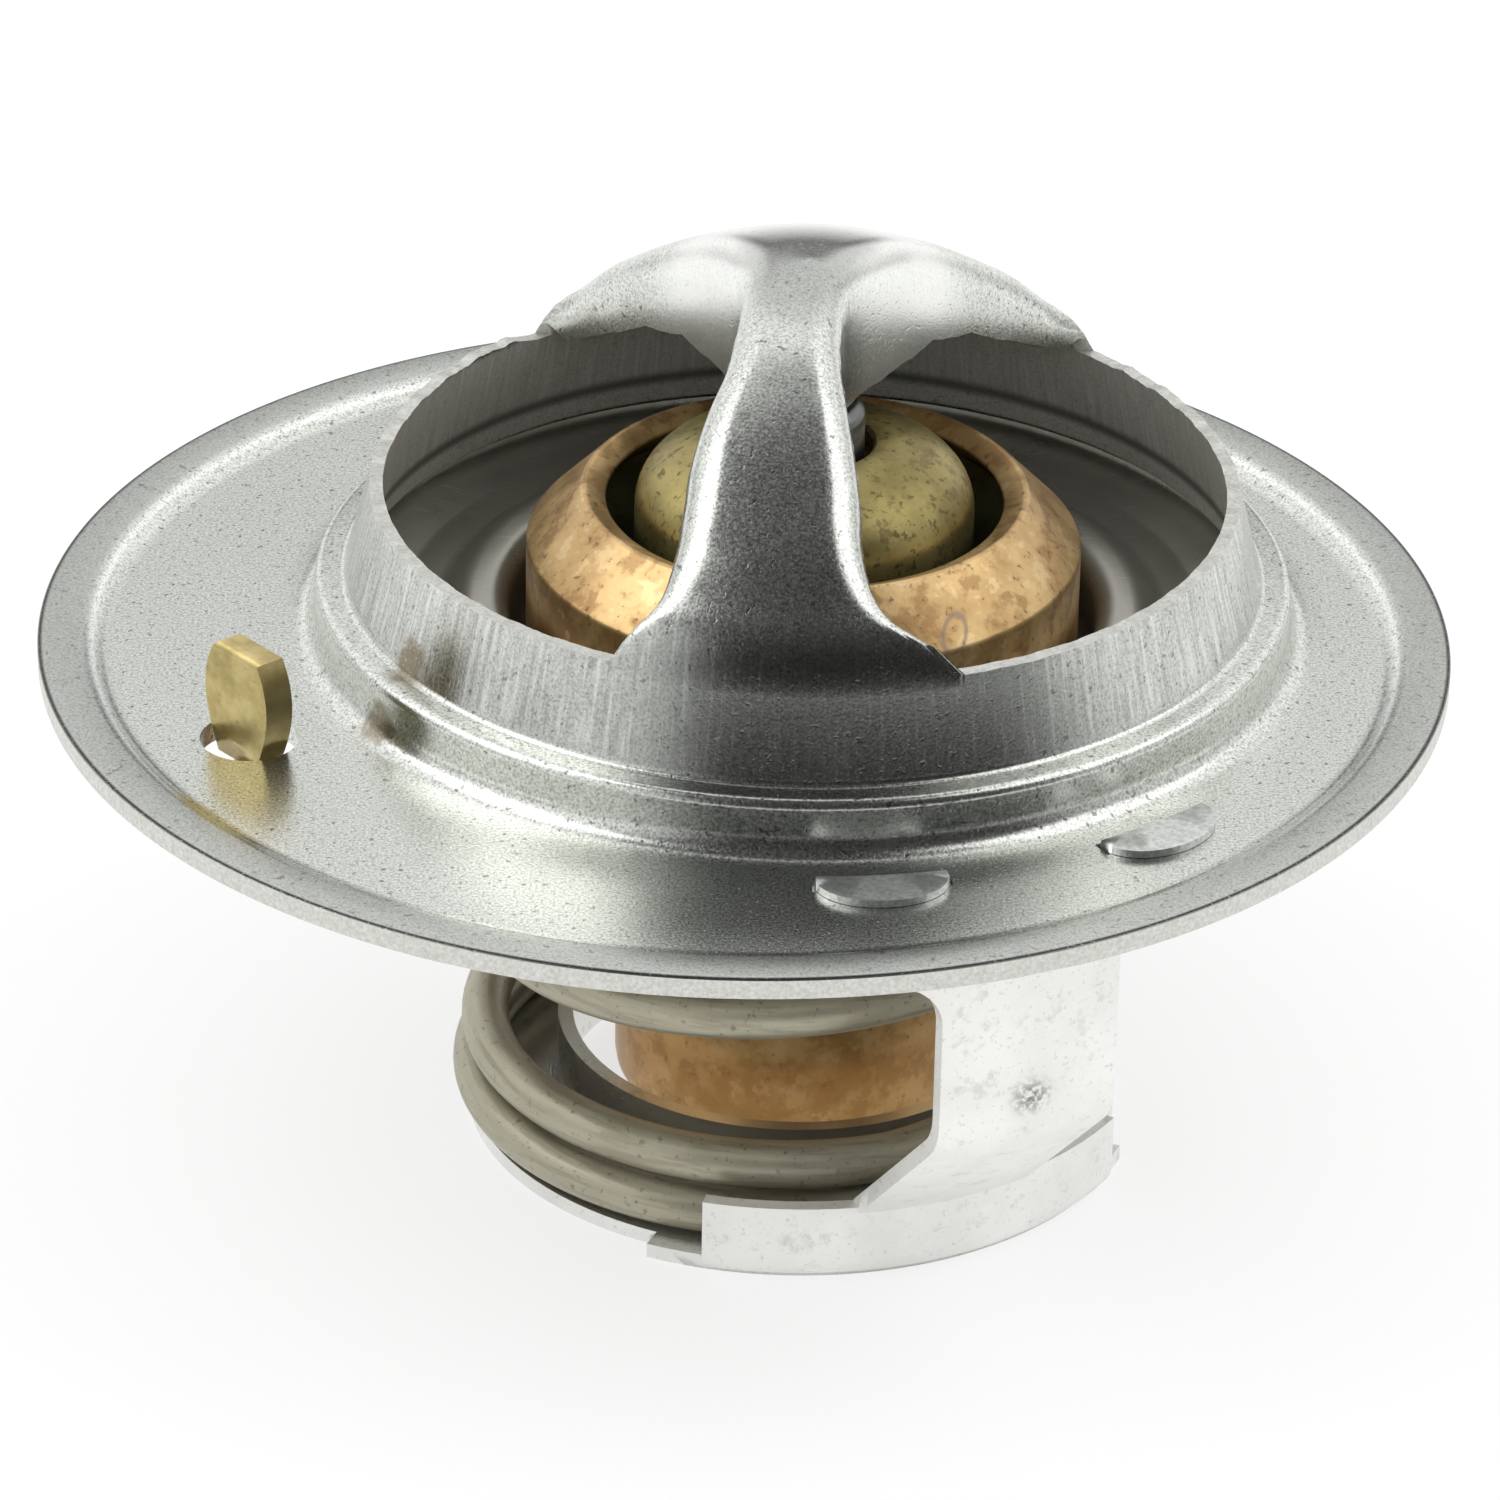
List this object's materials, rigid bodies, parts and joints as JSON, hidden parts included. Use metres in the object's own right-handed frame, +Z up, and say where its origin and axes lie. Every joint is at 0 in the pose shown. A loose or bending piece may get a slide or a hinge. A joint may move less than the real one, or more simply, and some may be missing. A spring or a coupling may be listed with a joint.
{
  "type": "engine coolant thermostat",
  "caption": "Engine coolant thermostat: sheet-steel flange with a bridge over a spring-loaded poppet valve and copper wax element, on a pressed frame, with a jiggle pin.",
  "frame": {"origin": "under the middle of the round flange, in the plane the lower frame stands on", "axes": "+Z up along the valve axis towards the bridge; the valve axis stands 2.6 mm to +X and 1.9 mm to +Y of the origin"},
  "size_m": [0.064, 0.064, 0.0432],
  "materials": {
    "flange_steel": "satin",
    "frame_steel": "satin",
    "disc_steel": "satin",
    "copper": "worn",
    "brass": "worn",
    "boot_rubber": "matt",
    "wax_filling": "matt",
    "pin_steel": "satin",
    "spring_steel": "satin"
  },
  "bodies": {
    "housing": {"bridge_flange": "flange_steel", "lower_frame": "frame_steel", "piston": "pin_steel", "spring": "spring_steel"},
    "valve": {"valve_disc": "disc_steel", "element_cup": "copper", "guide": "brass", "boot": "boot_rubber", "wax": "wax_filling"},
    "jiggle": {"jiggle_pin": "brass"}
  },
  "joints": [
    {"name": "valve_travel", "type": "slide", "parent": "housing", "child": "valve", "axis": [0, 0, -1], "range_m": [0, 0.008], "stiffness_N_per_m": 4340, "springref_m": -0.015, "deforming": ["spring"]},
    {"name": "pin_lift", "type": "slide", "parent": "housing", "child": "jiggle", "axis": [0, 0, 1], "range_m": [0, 0.0021]}
  ]
}
